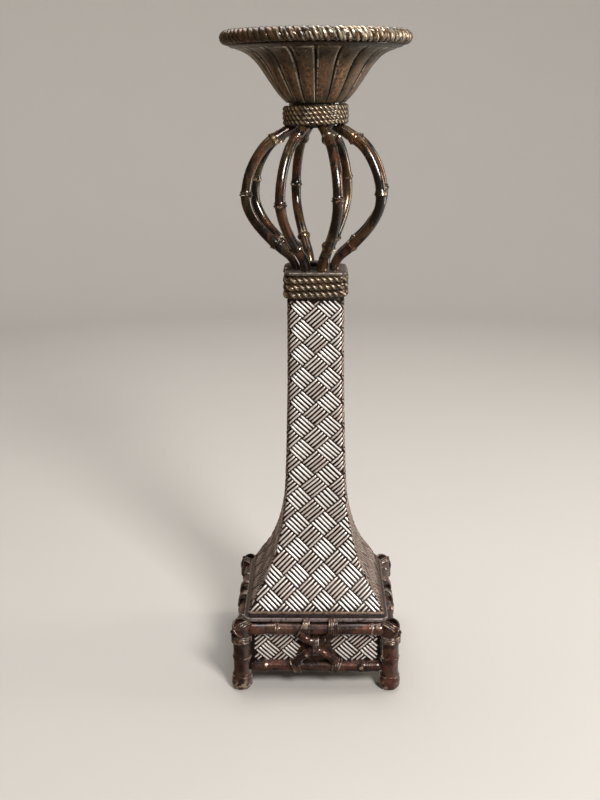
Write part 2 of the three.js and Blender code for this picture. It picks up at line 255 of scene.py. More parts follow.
def math_node(tree, operation, a, b):
    node = tree.nodes.new("ShaderNodeMath")
    node.operation = operation
    node.use_clamp = True
    tree.links.new(a, node.inputs[0])
    tree.links.new(b, node.inputs[1])
    return node.outputs[0]


def blend_colour(tree, share, a, b):
    """a where the share is 0 and b where it is 1. Sockets 6 and 7 are the node's two colours."""
    node = tree.nodes.new("ShaderNodeMix")
    node.data_type = "RGBA"
    tree.links.new(share, node.inputs["Factor"])
    for socket, value in ((node.inputs[6], a), (node.inputs[7], b)):
        if isinstance(value, tuple):
            socket.default_value = (*value, 1)
        else:
            tree.links.new(value, socket)
    return node.outputs[2]


def bump(tree, shader, height, distance):
    node = tree.nodes.new("ShaderNodeBump")
    node.inputs["Distance"].default_value = distance
    tree.links.new(height, node.inputs["Height"])
    tree.links.new(node.outputs[0], shader.inputs["Normal"])


# Near-black for recesses, grooves and gaps: partly the dark glaze that settles there, partly painted shade
# where light does not reach.
HOLLOW_GLAZE_AND_SHADE = (0.010, 0.005, 0.004)
SPECULAR = 0.35
COAT_ROUGHNESS = 0.14


def antique(name, dark, body, second, rubbed, patch, rub, gloss, metallic=0.35, coat=0.5,
            stretch=EVEN, pits=0.00015, cover=0.7, mottle=None, depth=(0.38, 0.62), painted_shade=None):
    """Antique paint: a dark glaze over two body colours in soft patches, dry-brushed on the crests
    and varnished. A low wear darkens the paint towards near-black, partly glaze and partly painted
    shade in recesses.

    patch is the glaze's noise scale, depth the noise at which it is full and at which it ends,
    rub the wear at which the dry brushing starts and is full, painted_shade the colour of the painted
    shade that a low tint leans to, gloss the lowest and highest roughness, pits the depth of the
    paint's grain in metres, and cover how much of a crest the brush has caught. With a mottle colour,
    the tint says where that colour is stippled on. Without mottle or painted shade, a low tint darkens
    the paint."""
    material, tree, shader = graph(name)
    hues = span(tree, noise_node(tree, patch * 0.6, 3, 0.5, stretch), 0.44, 0.58)
    base = blend_colour(tree, hues, body, second)
    patches = span(tree, noise_node(tree, patch, 5, 0.62, stretch), *depth)
    base = blend_colour(tree, patches, dark, base)
    # Painted shade, partly real glaze: a low wear darkens recesses, grooves and the gaps between strands
    # towards near-black.
    glaze_and_shade = span(tree, attribute(tree, "wear_and_painted_light"), 0.0, 0.45, 0.06, 1.0)
    base = blend_colour(tree, glaze_and_shade, HOLLOW_GLAZE_AND_SHADE, base)
    # Dry brushing on high wear; where a piece raises its wear to paint light, this brushing is a painted
    # highlight.
    worn_and_highlit = span(tree, attribute(tree, "wear_and_painted_light"), *rub)
    speckle = noise_node(tree, 1100, 3, 0.7)
    brushed = noise_node(tree, 210, 4, 0.65)
    strokes = span(tree, brushed, 0.60 - 0.35 * cover, 0.70 - 0.35 * cover)
    grains = span(tree, speckle, 0.30, 0.55, 0.25 + 0.6 * cover, 1.0)
    caught = math_node(tree, "MULTIPLY", strokes, grains)
    worn_and_highlit = math_node(tree, "MULTIPLY", worn_and_highlit, caught)
    tint = attribute(tree, "tint")
    if mottle:
        dots = span(tree, noise_node(tree, 420, 4, 0.75), 0.42, 0.62)
        stipple = math_node(tree, "MULTIPLY", dots, span(tree, tint, 0.15, 0.95))
        base = blend_colour(tree, stipple, base, mottle)
    # Painted shade: a low tint pulls the brushing towards the painted shade colour.
    if painted_shade:
        rubbed = blend_colour(tree, tint, painted_shade, rubbed)
    base = blend_colour(tree, worn_and_highlit, base, rubbed)
    if not mottle and not painted_shade:
        base = blend_colour(tree, span(tree, tint, 0.0, 1.0, 0.45, 1.0), dark, base)
    tree.links.new(base, shader.inputs["Base Color"])
    shine = math_node(tree, "MAXIMUM", patches, worn_and_highlit)
    tree.links.new(span(tree, shine, 0.0, 1.0, 0.25 * metallic, metallic), shader.inputs["Metallic"])
    shader.inputs["Specular IOR Level"].default_value = SPECULAR
    shader.inputs["Coat Weight"].default_value = coat
    shader.inputs["Coat Roughness"].default_value = COAT_ROUGHNESS
    rough = span(tree, noise_node(tree, 160, 4, 0.6), 0.35, 0.68, *gloss)
    tree.links.new(rough, shader.inputs["Roughness"])
    bump(tree, shader, noise_node(tree, 650, 5, 0.65, stretch), pits)
    return material


BRONZE = antique(
    "antique_bronze", dark=(0.009, 0.006, 0.004), body=(0.230, 0.092, 0.040), second=(0.165, 0.112, 0.050),
    rubbed=(0.62, 0.46, 0.28), patch=75, rub=(0.72, 0.98), gloss=(0.15, 0.30), metallic=0.7, coat=0.9,
    stretch=(1, 1, 0.22), cover=0.45, depth=(0.44, 0.62))
PLINTH = antique(
    "plinth_bronze", dark=(0.016, 0.008, 0.007), body=(0.175, 0.068, 0.046), second=(0.120, 0.064, 0.045),
    rubbed=(0.66, 0.50, 0.36), patch=75, rub=(0.75, 1.0), gloss=(0.17, 0.33), metallic=0.5, coat=0.8,
    cover=0.4, depth=(0.41, 0.60))
BOWL = antique(
    "bowl_bronze", dark=(0.028, 0.020, 0.012), body=(0.100, 0.073, 0.043), second=(0.120, 0.080, 0.046),
    rubbed=(0.58, 0.52, 0.42), patch=110, rub=(0.52, 0.98), gloss=(0.24, 0.40), metallic=0.5, coat=0.35,
    cover=0.6, pits=0.0002, mottle=(0.23, 0.112, 0.056))
ROPE = antique(
    "rope_bronze", dark=(0.026, 0.016, 0.009), body=(0.130, 0.076, 0.040), second=(0.090, 0.060, 0.034),
    rubbed=(0.74, 0.60, 0.42), patch=120, rub=(0.88, 1.03), gloss=(0.22, 0.36), metallic=0.5, cover=0.6)
RIM = antique(
    "rim_rope_bronze", dark=(0.024, 0.014, 0.008), body=(0.150, 0.080, 0.040), second=(0.100, 0.066, 0.034),
    rubbed=(0.78, 0.67, 0.50), patch=70, rub=(0.68, 0.97), gloss=(0.20, 0.34), metallic=0.65, cover=0.5)
CORD = antique(
    "cord_bronze", dark=(0.024, 0.015, 0.012), body=(0.120, 0.062, 0.042), second=(0.085, 0.054, 0.040),
    rubbed=(0.50, 0.39, 0.30), patch=130, rub=(0.76, 1.0), gloss=(0.24, 0.40), metallic=0.4, cover=0.35)
# The weave's painted shade colour is a pinkish taupe, for the strands that lean up to the right and for the
# side faces.
WEAVE = antique(
    "silvered_weave", dark=(0.024, 0.012, 0.009), body=(0.095, 0.054, 0.042), second=(0.075, 0.042, 0.032),
    rubbed=(0.88, 0.85, 0.82), patch=60, rub=(0.60, 0.92), gloss=(0.24, 0.38), metallic=0.3, coat=0.15,
    cover=1.0, pits=0.00008, painted_shade=(0.39, 0.28, 0.22))
CAP = antique(
    "cap_bronze", dark=(0.045, 0.035, 0.028), body=(0.130, 0.102, 0.082), second=(0.100, 0.078, 0.062),
    rubbed=(0.48, 0.42, 0.34), patch=90, rub=(0.72, 1.0), gloss=(0.30, 0.46), coat=0.3, cover=0.4)
GILT = antique(
    "gold_brown_strip", dark=(0.07, 0.036, 0.018), body=(0.20, 0.115, 0.060), second=(0.15, 0.090, 0.045),
    rubbed=(0.46, 0.34, 0.20), patch=70, rub=(0.6, 1.0), gloss=(0.32, 0.5), cover=0.5)
BOARD = antique(
    "dark_board", dark=(0.026, 0.017, 0.016), body=(0.050, 0.034, 0.032), second=(0.042, 0.031, 0.031),
    rubbed=(0.34, 0.27, 0.26), patch=45, rub=(0.6, 0.95), gloss=(0.24, 0.40), coat=0.9,
    stretch=(0.2, 1, 1), cover=0.6)
INFILL = antique(
    "copper_infill", dark=(0.028, 0.013, 0.010), body=(0.135, 0.054, 0.030), second=(0.13, 0.078, 0.038),
    rubbed=(0.50, 0.34, 0.22), patch=80, rub=(0.6, 1.0), gloss=(0.24, 0.42), metallic=0.5, cover=0.5)
FILLING = antique(
    "column_filling", dark=(0.30, 0.27, 0.23), body=(0.42, 0.39, 0.34), second=(0.40, 0.37, 0.33),
    rubbed=(0.5, 0.47, 0.42), patch=40, rub=(0.5, 1.0), gloss=(0.75, 0.9), metallic=0.0, coat=0.0,
    pits=0.0004)
STEEL = antique(
    "zinc_steel", dark=(0.38, 0.39, 0.40), body=(0.52, 0.53, 0.54), second=(0.48, 0.49, 0.50),
    rubbed=(0.7, 0.7, 0.7), patch=200, rub=(0.5, 1.0), gloss=(0.25, 0.4), metallic=1.0, coat=0.0,
    pits=0.00003)


# -------- ropes

ROPE_STRANDS = 3
STEPS_PER_TURN = 14


def twisted_rope(build, path_point, length, radius, lay, closed, rng, sides=9, shine=None, yarns=0):
    """A laid rope along a level path. path_point gives the axis and the outward direction at a
    distance. Seen from outside, the strands lean down to the right. A closed rope is a whole number
    of lays long. yarns is the number of ridges round each strand, which twist against its lay."""
    strand = radius * 0.49
    helix = radius - strand
    turns = length / lay
    steps = int(turns * STEPS_PER_TURN)
    for number in range(ROPE_STRANDS):
        rings = []
        for i in range(steps + (0 if closed else 1)):
            share = i / steps
            axis, out = path_point(share * length)
            ahead = level_turn(out)
            angle = -TAU * turns * share + TAU * number / ROPE_STRANDS
            spoke = out * math.cos(angle) + UP * math.sin(angle)
            swing = (UP * math.cos(angle) - out * math.sin(angle)) * (-TAU * helix / lay)
            along = (ahead + swing).normalized()
            side = along.cross(spoke).normalized()
            centre = axis + spoke * helix
            ring = []
            for j in range(sides):
                turn = TAU * j / sides
                ridge = math.cos(yarns * turn - 2 * TAU * turns * share) if yarns else 1.0
                girth = strand * (1 - 0.05 * (1 - ridge))
                offset = spoke * math.cos(turn) * girth + side * math.sin(turn) * girth * 1.12
                point = centre + offset
                reach = ((point - axis).length / radius - 0.45) / 0.55 * (0.86 + 0.14 * ridge)
                face = 0.75 + 0.25 * (point - axis).normalized().dot(out)
                wear_and_painted_light = max(reach, 0.0) * face
                if shine is not None:
                    wear_and_painted_light *= shine(point)
                ring.append((point, min(wear_and_painted_light, 1.0)))
            rings.append(ring)
        build.skin(rings, tint=rng.uniform(0.35, 0.75), path_closed=closed)


def ring_path(radius, height):
    def at(distance):
        out = outward(distance / radius + FRONT)
        return out * radius + UP * height, out
    return at


def coil_path(radius, bottom, pitch, swell):
    """Turns lying on each other, starting and ending at the back. swell widens them, by the number
    of turns made."""
    def at(distance):
        turns = distance / (TAU * radius)
        out = outward(math.pi / 2 + TAU * turns)
        return out * (radius + swell(turns)) + UP * (bottom + pitch * turns), out
    return at


def square_outline(half, corner, share):
    """Point and outward direction at a share of the way round a rounded square, from the middle of
    its back side, the same way round as coil_path."""
    flat = 2 * (half - corner)
    arc = corner * math.pi / 2
    distance = (share % 1.0) * 4 * (flat + arc) + flat / 2
    side = int(distance // (flat + arc)) % 4
    rest = distance - (distance // (flat + arc)) * (flat + arc)
    if rest < flat:
        point = Vector((half, rest - flat / 2, 0))
        out = RIGHT
    else:
        out = outward((rest - flat) / corner)
        point = Vector((half - corner, half - corner, 0)) + out * corner
    spin = quarter_turns(side + 1)
    return spin @ point, spin @ out


def square_coil_path(half, corner, bottom, pitch):
    perimeter = 8 * (half - corner) + TAU * corner

    def at(distance):
        turns = distance / perimeter
        point, out = square_outline(half, corner, turns)
        return point + UP * (bottom + pitch * turns), out
    return at, perimeter


def make_rim_rope():
    low, high = node_box("rim_rope")
    radius = (high.z - low.z) / 2 + 0.1
    ring_radius = high.x - radius + 0.1
    length = TAU * ring_radius
    lays = 27
    build = Build()
    rng = random.Random(3)

    # Painted light: the rim's brushing is stronger on its right front and weaker on its left, where less
    # light falls; the patch term varies it at random.
    def shine(point):
        patch = noise.noise(Vector((point.x * 0.045, point.y * 0.045, 7.0)))
        return mix(0.72, 1.12, smooth_step(point.x - 0.3 * point.y, -50, 50)) + 0.12 * patch

    path = ring_path(ring_radius, (low.z + high.z) / 2)
    twisted_rope(build, path, length, radius, length / lays, True, rng, sides=20, shine=shine, yarns=5)
    build.piece("rim_rope_twist", RIM, "rope", "rim_rope")


def make_neck_rope():
    low, high = node_box("neck_rope")
    turns = 4
    radius = 2.95
    lay = 12.8
    bottom = low.z - 0.3 + radius
    pitch = (high.z + 0.4 - low.z - 2 * radius) / (turns - 0.4)
    ring_radius = high.x - radius
    build = Build()
    rng = random.Random(5)

    def swell(made):
        return 0.6 * math.sin(math.pi * clamp(made / turns)) - 0.3

    path = coil_path(ring_radius, bottom - 0.3 * pitch, pitch, swell)
    twisted_rope(build, path, TAU * ring_radius * turns, radius, lay, False, rng, sides=8)
    build.piece("neck_rope_coil", ROPE, "rope", "neck_rope")


def make_collar_rope():
    low, high = node_box("collar_rope")
    turns = 3
    radius = 4.0
    lay = 17.0
    half = high.x - radius + 0.2
    pitch = (high.z + 0.8 - low.z - 2 * radius) / (turns - 1) * 0.95
    path, perimeter = square_coil_path(half, 6.5, low.z + radius - 0.35 * pitch, pitch)
    build = Build()
    rng = random.Random(8)
    twisted_rope(build, path, perimeter * (turns + 0.3), radius, lay, False, rng, sides=8)
    build.piece("collar_rope_coil", ROPE, "rope", "collar_rope")


# -------- bamboo

def knuckle_rise(distance, knuckles, height):
    """How far a cane stands out at a distance: a double ridge, and a collar that fades away. Each
    knuckle is its place along the cane, and 1 where its collar fades forwards or -1 backwards."""
    rise = 0.0
    for at, lead in knuckles:
        off = (distance - at) * lead
        rise += height * math.exp(-((off - 0.9) / 0.75) ** 2)
        rise += 0.75 * height * math.exp(-((off + 1.3) / 0.65) ** 2)
        if off > 0:
            rise += 0.5 * height * math.exp(-off / 7.0)
        else:
            rise += 0.22 * height * math.exp(off / 4.0)
    return rise


def bamboo(build, path, radius, knuckles, height, rng, side, sides=20, step=1.1, ends=None,
           flare=None, rub_and_highlight=None):
    """A cane along a path. side is any direction across it; ends rounds the two tips. flare widens
    the cane and rub_and_highlight rubs it, or on a rail's bulb paints a highlight on it, each by the
    distance along it."""
    steps = max(int(path.length / step), 8)
    rings = []
    seed = rng.uniform(0, 50)
    for i in range(steps + 1):
        distance = path.length * i / steps
        centre = path.point(distance)
        along = path.tangent(distance)
        across = (side - along * side.dot(along)).normalized()
        other = along.cross(across)
        rise = knuckle_rise(distance, knuckles, height)
        grown = radius + rise
        if flare is not None:
            grown += flare(distance)
        if ends:
            near = min(distance, path.length - distance)
            if near < ends:
                grown *= math.sqrt(max(1 - (1 - near / ends) ** 2, 0.02))
        ring = []
        for j in range(sides):
            turn = TAU * j / sides
            spoke = across * math.cos(turn) + other * math.sin(turn)
            place = Vector((seed + distance * 0.05, math.cos(turn) * 1.2, math.sin(turn) * 1.2))
            rough = noise.noise(place)
            point = centre + spoke * (grown + rough * radius * 0.05)
            rub = 0.42 + 0.5 * rough + 0.42 * min(rise / height, 1.0)
            if rub_and_highlight is not None:
                rub += rub_and_highlight(distance)
            ring.append((point, clamp(rub)))
        rings.append(ring)
    build.skin(rings, tint=rng.uniform(0.35, 0.7))


# (distance from the stand's axis, height) along a cane, from the cap plate up
CANE_LINE = ((19.5, 402.0), (19.6, 406), (24.5, 414), (34, 422), (51.5, 438.7), (63, 456), (65.8, 472),
             (61.2, 493), (48.5, 513), (31, 525), (19.5, 531))
CANE_TURN = 17.0
CANE_COUNT = 8
CANE_RADIUS = 4.5
CANE_KNUCKLE = 1.4
CANE_LOW_KNUCKLE = 425.5
CANE_HIGH_KNUCKLE = 520.5
CANE_MIDDLE_KNUCKLES = (470, 473.5, 476, 481, 474, 482, 472.5, 465)
PLINTH_KNUCKLE = 0.8


def make_canes():
    for i in range(CANE_COUNT):
        rng = random.Random(20 + i)
        out = outward(math.radians(CANE_TURN + 360 / CANE_COUNT * i - 90))
        line = [out * distance + UP * height for distance, height in CANE_LINE]
        path = Path(spline(line, 14))
        marks = ((CANE_LOW_KNUCKLE, 1), (CANE_MIDDLE_KNUCKLES[i], -1), (CANE_HIGH_KNUCKLE, -1))
        knuckles = []
        for height, lead in marks:
            knuckles.append((path.distance_at_height(height + rng.uniform(-1.2, 1.2)), lead))
        build = Build()
        bamboo(build, path, CANE_RADIUS, knuckles, CANE_KNUCKLE, rng, level_turn(out))
        build.piece(f"bamboo_cane_{i + 1}", BRONZE, "bronze", f"cane_{i + 1}")


# (rail, its knuckles' places from the middle, how far its ends run on past the CAD rail's, how much
# a bulb near its right end swells)
RAILS = (("top_rail", (-38, 53), 4.5, 0.8), ("low_rail", (-50, 44), 1.5, 0.0))
BULB_PLACE = 61.5
BULB_WIDTH = 4.5
# Painted highlight: how much the brushing is raised on a rail's bulb.
BULB_HIGHLIGHT = 0.375


def make_rails(side, turn):
    for kind, knuckles, overhang, swelling in RAILS:
        low, high = node_box(f"{kind}_front")
        radius = (high.z - low.z) / 2 - 0.4
        middle = (low + high) / 2
        half = high.x + overhang
        rng = random.Random(len(kind) * 7 + SIDES.index(side) + ord(kind[0]))
        line = [Vector((x, middle.y + rng.uniform(-0.3, 0.3), middle.z + rng.uniform(-0.35, 0.35)))
                for x in (-half, -half / 2, 0, half / 2, half)]
        path = Path(spline(line, 30))
        marks = [(at + half, 1) for at in knuckles]
        build = Build()

        def bulb(distance):
            return swelling * math.exp(-((distance - half - BULB_PLACE) / BULB_WIDTH) ** 2)

        # Painted highlight on each rail's bulb, by its swelling.
        bamboo(build, path, radius, marks, PLINTH_KNUCKLE, rng, UP, ends=5.0, flare=bulb,
               rub_and_highlight=lambda distance: BULB_HIGHLIGHT * bulb(distance))
        build.piece(f"{kind}_{side}_bamboo", PLINTH, "bronze", f"{kind}_{side}", turn=turn)


POST_RADIUS = 8.2
POST_KNUCKLES = ((15.3, -1), (33.3, 1))


def foot_flare(height):
    """A post's foot is wider than the post and rounded in at the ground."""
    return 1.9 * (1 - smooth_step(height, 9, 16)) - 3.4 * (1 - smooth_step(height, -1.5, 6)) ** 1.5


def foot_polish(height):
    return 0.6 * (1 - smooth_step(height, 3, 14))


def make_posts():
    for i in range(4):
        name = f"post_{i + 1}"
        low, high = node_box(name)
        middle = (low + high) / 2
        rng = random.Random(60 + i)
        build = Build()
        heights = [*range(70), high.z]
        path = Path([Vector((middle.x, middle.y, height)) for height in heights])
        bamboo(build, path, POST_RADIUS, POST_KNUCKLES, PLINTH_KNUCKLE, rng, RIGHT, sides=26, step=0.8,
               flare=foot_flare, rub_and_highlight=foot_polish)
        build.piece(f"{name}_bamboo", PLINTH, "bronze", name)


# -------- column

def sleeve_outline():
    """(height, half width) rows of the CAD sleeve's outside, lowest first."""
    widest = {}
    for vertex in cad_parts["woven_sleeve"].data.vertices:
        height = round(vertex.co.z / MM, 1)
        widest[height] = max(widest.get(height, 0.0), vertex.co.x / MM)
    return sorted(widest.items())


class Column:
    """The sleeve's four curved faces. A place on a face is a distance across it from its middle
    line, measured round the corner, and a height."""

    def __init__(self):
        rows = sleeve_outline()
        curve = spline([Vector((half, 0, height)) for height, half in rows], 20)
        self.heights = [p.z for p in curve]
        self.halves = [p.x for p in curve]
        self.bottom = self.heights[0]
        self.top = self.heights[-1]
        self.rows = [0.0]
        for i in range(1, len(curve)):
            rise = (curve[i] - curve[i - 1]).length
            self.rows.append(self.rows[-1] + rise / self.row_height(self.heights[i]))

    def half(self, height):
        return look_up(self.heights, self.halves, height)

    def corner(self, height):
        """Radius of the rounded corners, which is smaller at the foot."""
        return mix(3.0, 8.0, smooth_step(height, 90, 230))

    def reach(self, height):
        """Distance from a face's middle line to the corner line."""
        corner = self.corner(height)
        return self.half(height) - corner + corner * math.pi / 4

    def row_height(self, height):
        """Height of a row of the weave, which is taller at the foot."""
        return mix(25.9, 22.6, clamp((height - 80) / 290))

    def block_width(self, height):
        """Width of a column of the weave: half a face, or less on the flare, where more fit in."""
        return min(self.reach(height), 27.4 - 1.7 * smooth_fall(height, 95, 205))

    def drift(self, height):
        """How far the weave's middle line wanders off the face's middle on the flare."""
        return -5.2 * smooth_fall(height, 150, 225)

    def height_of_row(self, row):
        return look_up(self.rows, self.heights, row)

    def row_of_height(self, height):
        return look_up(self.heights, self.rows, height)

    def point(self, across, height, lift):
        """A point of the front face. At a lift of STRAND_RISE it lies on the CAD sleeve."""
        half = self.half(height)
        corner = self.corner(height)
        flat = half - corner
        over = max(abs(across) - flat, 0.0)
        angle = min(over / corner, math.pi / 4) * (1 if across > 0 else -1)
        x = max(min(across, flat), -flat) + corner * math.sin(angle)
        y = -flat - corner * math.cos(angle)
        slope = (self.half(height + 1) - self.half(height - 1)) / 2
        out = Vector((math.sin(angle), -math.cos(angle), -slope)).normalized()
        return Vector((x, y, height)) + out * (lift - STRAND_RISE)


STRANDS = 5
STRAND_FILL = 0.78
STRAND_RISE = 1.6
STRAND_CHECKS = 20
FEWEST_INSIDE = 5
# (share of the half width, share of the rise) across a strand
CROSS = ((-1.0, -0.5), (-0.98, 0.25), (-0.78, 0.66), (-0.42, 0.92), (0.0, 1.0), (0.42, 0.92), (0.78, 0.66),
         (0.98, 0.25), (1.0, -0.5))
# (share of the length, share of the rise, share of the width) along a strand
ALONG = ((0.0, 0.35, 0.80), (0.05, 0.80, 0.96), (0.2, 0.95, 1.0), (0.5, 1.0, 1.0), (0.8, 0.95, 1.0),
         (0.95, 0.80, 0.96), (1.0, 0.35, 0.80))
# The same two shares at an end that is cut off
CUT_END = (0.9, 1.0)


def strand(build, place, inside, centre, run, width, rng, fade, unshaded_share):
    """One strand of the weave, from centre - run to centre + run in pattern units. What lies outside
    the woven area is cut off. The last argument is how little its brushing leans to the painted
    shade colour; strands that lean up to the right lean to it more, as painted shade."""
    shares = [check / STRAND_CHECKS for check in range(STRAND_CHECKS + 1)]
    kept = [share for share in shares if inside(centre + run * (2 * share - 1))]
    if len(kept) < FEWEST_INSIDE:
        return
    start, end = kept[0], kept[-1]
    rise = STRAND_RISE * rng.uniform(0.88, 1.0)
    # Painted shade: strands that lean up to the right are brushed a little less, as if the light missed
    # them.
    forward = run.y > 0
    brushed = rng.uniform(0.92, 1.0) if forward else rng.uniform(0.96, 1.04)
    sway = rng.uniform(-0.06, 0.06)
    rings = []
    for at, lift, girth in ALONG:
        if (at < 0.1 and start > 0.02) or (at > 0.9 and end < 0.98):
            lift, girth = CUT_END
        share = mix(start, end, at)
        middle = centre + run * (2 * share - 1) + width * sway * math.sin(TAU * share)
        ring = []
        for across, height in CROSS:
            spot = middle + width * (across * girth)
            raised = rise * height * (lift if height > 0 else 1.0)
            point = place(spot, raised)
            wear_and_painted_light = max(height, 0.0) * mix(0.75, 1.0, lift) * fade(point) * brushed
            ring.append((point, min(wear_and_painted_light, 1.0)))
        rings.append(ring)
    # Painted shade: strands that lean up to the right get a low tint, which leans their brushing to the
    # painted shade colour; within each lean the tint is random.
    build.skin(rings, tint=unshaded_share * (rng.uniform(0.35, 0.75) if forward else rng.uniform(0.85, 1.0)))


def weave(build, place, inside, columns, rows, rng, fade, unshaded_share=1.0):
    """Diagonal basket weave: blocks of parallel strands, leaning one way on whole pattern numbers
    and the other way on halves."""
    for lean, shift in ((1, 0.0), (-1, 0.5)):
        run = Vector((0.25, 0.25 * lean)) * 0.97
        step = Vector((0.5, -0.5 * lean)) / STRANDS
        width = step * (STRAND_FILL / 2)
        for column in columns:
            for row in rows:
                block = Vector((column + shift, row + shift))
                for i in range(STRANDS):
                    centre = block + step * (i - (STRANDS - 1) / 2)
                    jitter = Vector((rng.uniform(-1, 1), rng.uniform(-1, 1))) * 0.006
                    strand(build, place, inside, centre + jitter, run, width, rng, fade, unshaded_share)


WEAVE_START = 266
# Painted shade on the left and right faces of the sleeve: the first scales their brushing down, and the
# second their tint, which leans it to the painted shade colour.
SIDE_SHADE_FADE = 0.87
SIDE_UNSHADED_SHARE = 0.3
SLEEVE_WALL = 3.2


def make_sleeve():
    """The sleeve with a strand weave on its four faces. The left and right faces carry painted shade:
    the brushing on them is weaker and leans to the painted shade colour.
    """
    column = Column()
    start = column.row_of_height(WEAVE_START)
    rng = random.Random(31)

    def fade(point):
        low = smooth_step(point.z, column.bottom - 1, column.bottom + 8)
        high = smooth_fall(point.z, column.top - 7, column.top + 2)
        return mix(0.80, 1.0, low) * mix(0.72, 1.0, high)

    def side_shade_fade(point):
        return SIDE_SHADE_FADE * fade(point)

    build = Build()
    for turn in range(4):
        spin = quarter_turns(turn)
        swing = 1 if turn % 2 == 0 else -1

        def across_of(spot, height):
            return spot.x * column.block_width(height) + swing * column.drift(height)

        def place(spot, lift):
            height = clamp(column.height_of_row(spot.y + start), column.bottom, column.top)
            reach = column.reach(height)
            across = clamp(across_of(spot, height), -reach, reach)
            return spin @ column.point(across, height, lift)

        def inside(spot):
            row = spot.y + start
            if row < 0 or row > column.rows[-1]:
                return False
            height = column.height_of_row(row)
            return abs(across_of(spot, height)) <= column.reach(height) + 0.4

        # Painted shade: the left and right faces get the weaker brushing and the low tint.
        face_fade, unshaded_share = (fade, 1.0) if swing > 0 else (side_shade_fade, SIDE_UNSHADED_SHARE)
        weave(build, place, inside, range(-4, 5), range(-12, 8), rng, face_fade, unshaded_share)

    rings = []
    outer = column.heights[::4] + [column.top]
    for lift, heights in ((0.0, outer), (-SLEEVE_WALL, outer[::-1])):
        for height in heights:
            ring = []
            reach = column.reach(height)
            for turn in range(4):
                spin = quarter_turns(turn)
                for i in range(12):
                    ring.append((spin @ column.point(reach * (i / 6 - 1), height, lift), 0.0))
            rings.append(ring)
    build.skin(rings, path_closed=True)
    build.piece("woven_sleeve_strands", WEAVE, "weave", "woven_sleeve")


def square_ring(half, corner, height, wear_and_painted_light, steps=6):
    """A rounded square of points at one height, all with the same wear."""
    ring = []
    for quarter in range(4):
        spin = quarter_turns(quarter)
        for i in range(steps + 1):
            angle = math.pi / 2 * i / steps
            x = half - corner + corner * math.cos(angle)
            y = half - corner + corner * math.sin(angle)
            ring.append((spin @ Vector((x, y, height)), wear_and_painted_light))
    return ring


def make_board(node, material, corner, edge, grow=0.0, face=0.35):
    """A square board with softened, rubbed edges, grown up and down beyond the CAD board by grow.
    face is the wear of its upright faces; on the deck it is raised to paint a highlight there."""
    low, high = node_box(node)
    half, bottom, top = high.x, low.z - grow, high.z + grow
    build = Build()
    rows = [(half * 0.98 - edge * 2, bottom, 0.2), (half - edge, bottom, 0.3),
            (half - 0.3 * edge, bottom + 0.3 * edge, 0.9), (half, bottom + edge, 0.8),
            (half, mix(bottom + edge, top - edge, 0.5), face), (half, top - edge, 0.8),
            (half - 0.3 * edge, top - 0.3 * edge, 1.0), (half - edge, top, 0.8),
            (half - 3 * edge - 1, top, 0.35)]
    rings = [square_ring(width, min(corner, width * 0.9), height, wear_and_painted_light) for width, height, wear_and_painted_light in rows]
    inner = half * 0.25
    rings.insert(0, square_ring(inner, inner * 0.9, bottom, 0.2))
    rings.append(square_ring(inner, inner * 0.9, top, 0.3))
    build.skin(rings)
    build.piece(f"{node}_cast", material, "dark_board", node)


def make_boards():
    make_board("cap_plate", CAP, corner=7.5, edge=1.1)
    make_board("step_board", BOARD, corner=2.5, edge=0.5, grow=0.2)
    # Painted highlight: the deck's upright faces are brushed bright so they read as a lit strip.
    make_board("deck_board", BOARD, corner=8, edge=0.6, face=0.9)


def make_foot_binding():
    low, high = node_box("foot_binding")
    depth, corner = 5, 2.6
    build = Build()
    rows = [(high.x - depth, low.z, 0.1), (high.x - 0.4, low.z, 0.4), (high.x, low.z + 0.4, 1.0),
            (high.x, high.z - 0.3, 0.9), (high.x - 0.5, high.z + 0.2, 0.3),
            (high.x - depth, high.z + 0.2, 0.1)]
    build.skin([square_ring(half, corner, height, wear_and_painted_light) for half, height, wear_and_painted_light in rows], path_closed=True)
    build.piece("foot_binding_strip", GILT, "gilt", "foot_binding")


# -------- plinth ornaments

LOOP_STEPS = 40
CORD_SIDES = 8


def cord_loop(build, centre, axis, up, radii, slant, cord, rng):
    """A closed loop of round cord about an axis. slant leans it along the axis, high side ahead."""
    out = axis.cross(up)
    rings = []
    for i in range(LOOP_STEPS):
        cosine = math.cos(TAU * i / LOOP_STEPS)
        sine = math.sin(TAU * i / LOOP_STEPS)
        spoke = out * cosine * radii[0] + up * sine * radii[1]
        spot = centre + spoke + axis * slant * sine
        ahead = (-out * sine * radii[0] + up * cosine * radii[1] + axis * slant * cosine).normalized()
        normal = (spoke - ahead * spoke.dot(ahead)).normalized()
        side = ahead.cross(normal)
        ring = []
        for j in range(CORD_SIDES):
            turn = TAU * j / CORD_SIDES
            offset = normal * math.cos(turn) + side * math.sin(turn)
            wear_and_painted_light = 0.5 + 0.5 * math.cos(turn)
            ring.append((spot + offset * cord, wear_and_painted_light * 0.95))
        rings.append(ring)
    build.skin(rings, tint=rng.uniform(0.3, 0.8), path_closed=True)


LASHING_CORD = 1.15
LASHING_PITCH = 2.0
# (rail, the group's place along it, how far each cord leans)
LASHINGS = (("top_rail", -11.0, (4.2, 3.2, 2.2, 1.0, 0.2)),
            ("top_rail", 16.5, (0.4, 0.2, 0.0, -0.3, -0.6)),
            ("low_rail", -19.0, (-3.2, -2.6, -2.0, -1.2)),
            ("low_rail", 19.0, (1.4, 2.2, 2.8, 3.2)))


